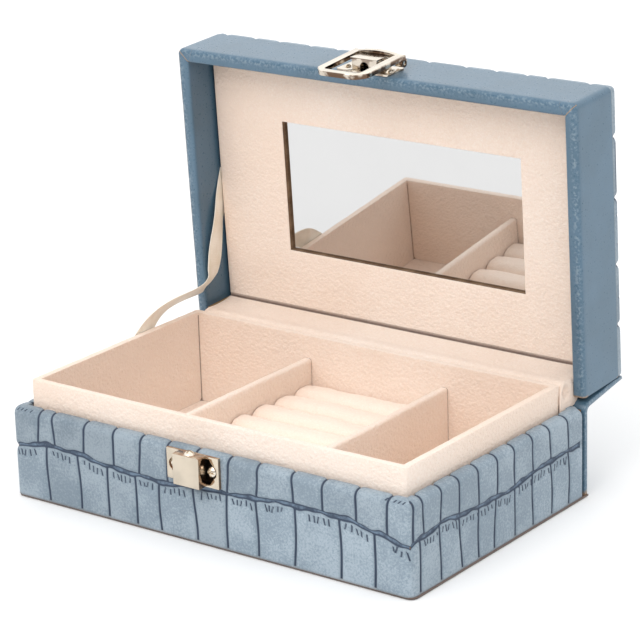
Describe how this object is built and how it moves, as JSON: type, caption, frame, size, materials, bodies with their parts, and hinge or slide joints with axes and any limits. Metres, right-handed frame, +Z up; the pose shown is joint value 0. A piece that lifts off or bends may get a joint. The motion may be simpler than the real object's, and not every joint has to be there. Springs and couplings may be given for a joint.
{
  "type": "jewellery box",
  "caption": "Hinged jewellery box with an embossed leathercloth case, velour liner with dividers, ring rolls, a mirror in the lid, a ribbon stay and a ring clasp.",
  "frame": {"origin": "centre of the flat underside of the base", "axes": "+Z up, -Y towards the clasp at the front, +Y towards the hinge, +X to the right seen from the front"},
  "size_m": [0.2, 0.1592, 0.1741],
  "materials": {
    "greyboard": "rough grey-brown board",
    "croc_leather": "embossed grey-blue leathercloth",
    "blue_leather": "smooth steel-blue leathercloth",
    "bottom_card": "dark brown leathercloth",
    "velour": "short-nap blush velour",
    "roll_velour": "short-nap blush velour over foam",
    "foam": "soft foam",
    "mirror_glass": "silvered glass",
    "pale_gold": "pale gold plated steel",
    "ribbon": "cream satin ribbon"
  },
  "bodies": {
    "base": {"bottom_cover": "bottom_card", "base_floor_board": "greyboard", "base_front_board": "greyboard", "base_left_board": "greyboard", "base_right_board": "greyboard", "base_back_board": "greyboard", "base_wrap": "croc_leather", "spine_lower_board": "greyboard", "spine_lower_wrap": "blue_leather", "floor_pad": "foam", "liner_floor": "velour", "liner_front_wall": "velour", "liner_back_wall": "velour", "liner_left_wall": "velour", "liner_right_wall": "velour", "divider_left": "velour", "divider_right": "velour", "ring_roll_support": "greyboard", "ring_roll_1": "roll_velour", "ring_roll_2": "roll_velour", "ring_roll_3": "roll_velour", "ring_roll_4": "roll_velour", "ring_roll_5": "roll_velour", "ring_roll_6": "roll_velour", "ring_roll_7": "roll_velour", "catch_plate": "pale_gold", "catch_screws": "pale_gold", "catch_housing": "pale_gold", "catch_top_screw": "pale_gold", "hinge_lining": "velour"},
    "lid": {"lid_front_board": "greyboard", "lid_left_board": "greyboard", "lid_right_board": "greyboard", "lid_back_board": "greyboard", "lid_top_board": "greyboard", "lid_wrap": "blue_leather", "spine_upper_board": "greyboard", "spine_upper_wrap": "blue_leather", "lid_top_foam": "foam", "lid_top_cover": "croc_leather", "lid_panel": "velour", "mirror": "mirror_glass", "mirror_backing": "greyboard", "lid_spacers": "greyboard", "hinge_leather": "blue_leather", "ribbon_stay": "ribbon", "hasp_plate": "pale_gold", "hasp_rivets": "pale_gold", "hasp_bridge": "pale_gold", "hasp_pin": "pale_gold"},
    "hasp": {"hasp_ring": "pale_gold"}
  },
  "joints": [
    {"name": "lid_hinge", "type": "hinge", "parent": "base", "child": "lid", "pos_m": [0, 0.0625, 0.0415], "axis": [1, 0, 0], "range_deg": [0, 87], "deforming": ["hinge_leather", "hinge_lining", "ribbon_stay"]},
    {"name": "hasp_pivot", "type": "hinge", "parent": "lid", "child": "hasp", "pos_m": [-0.0018, 0.06632, 0.16978], "axis": [-1, 0, 0], "range_deg": [0, 90]}
  ]
}
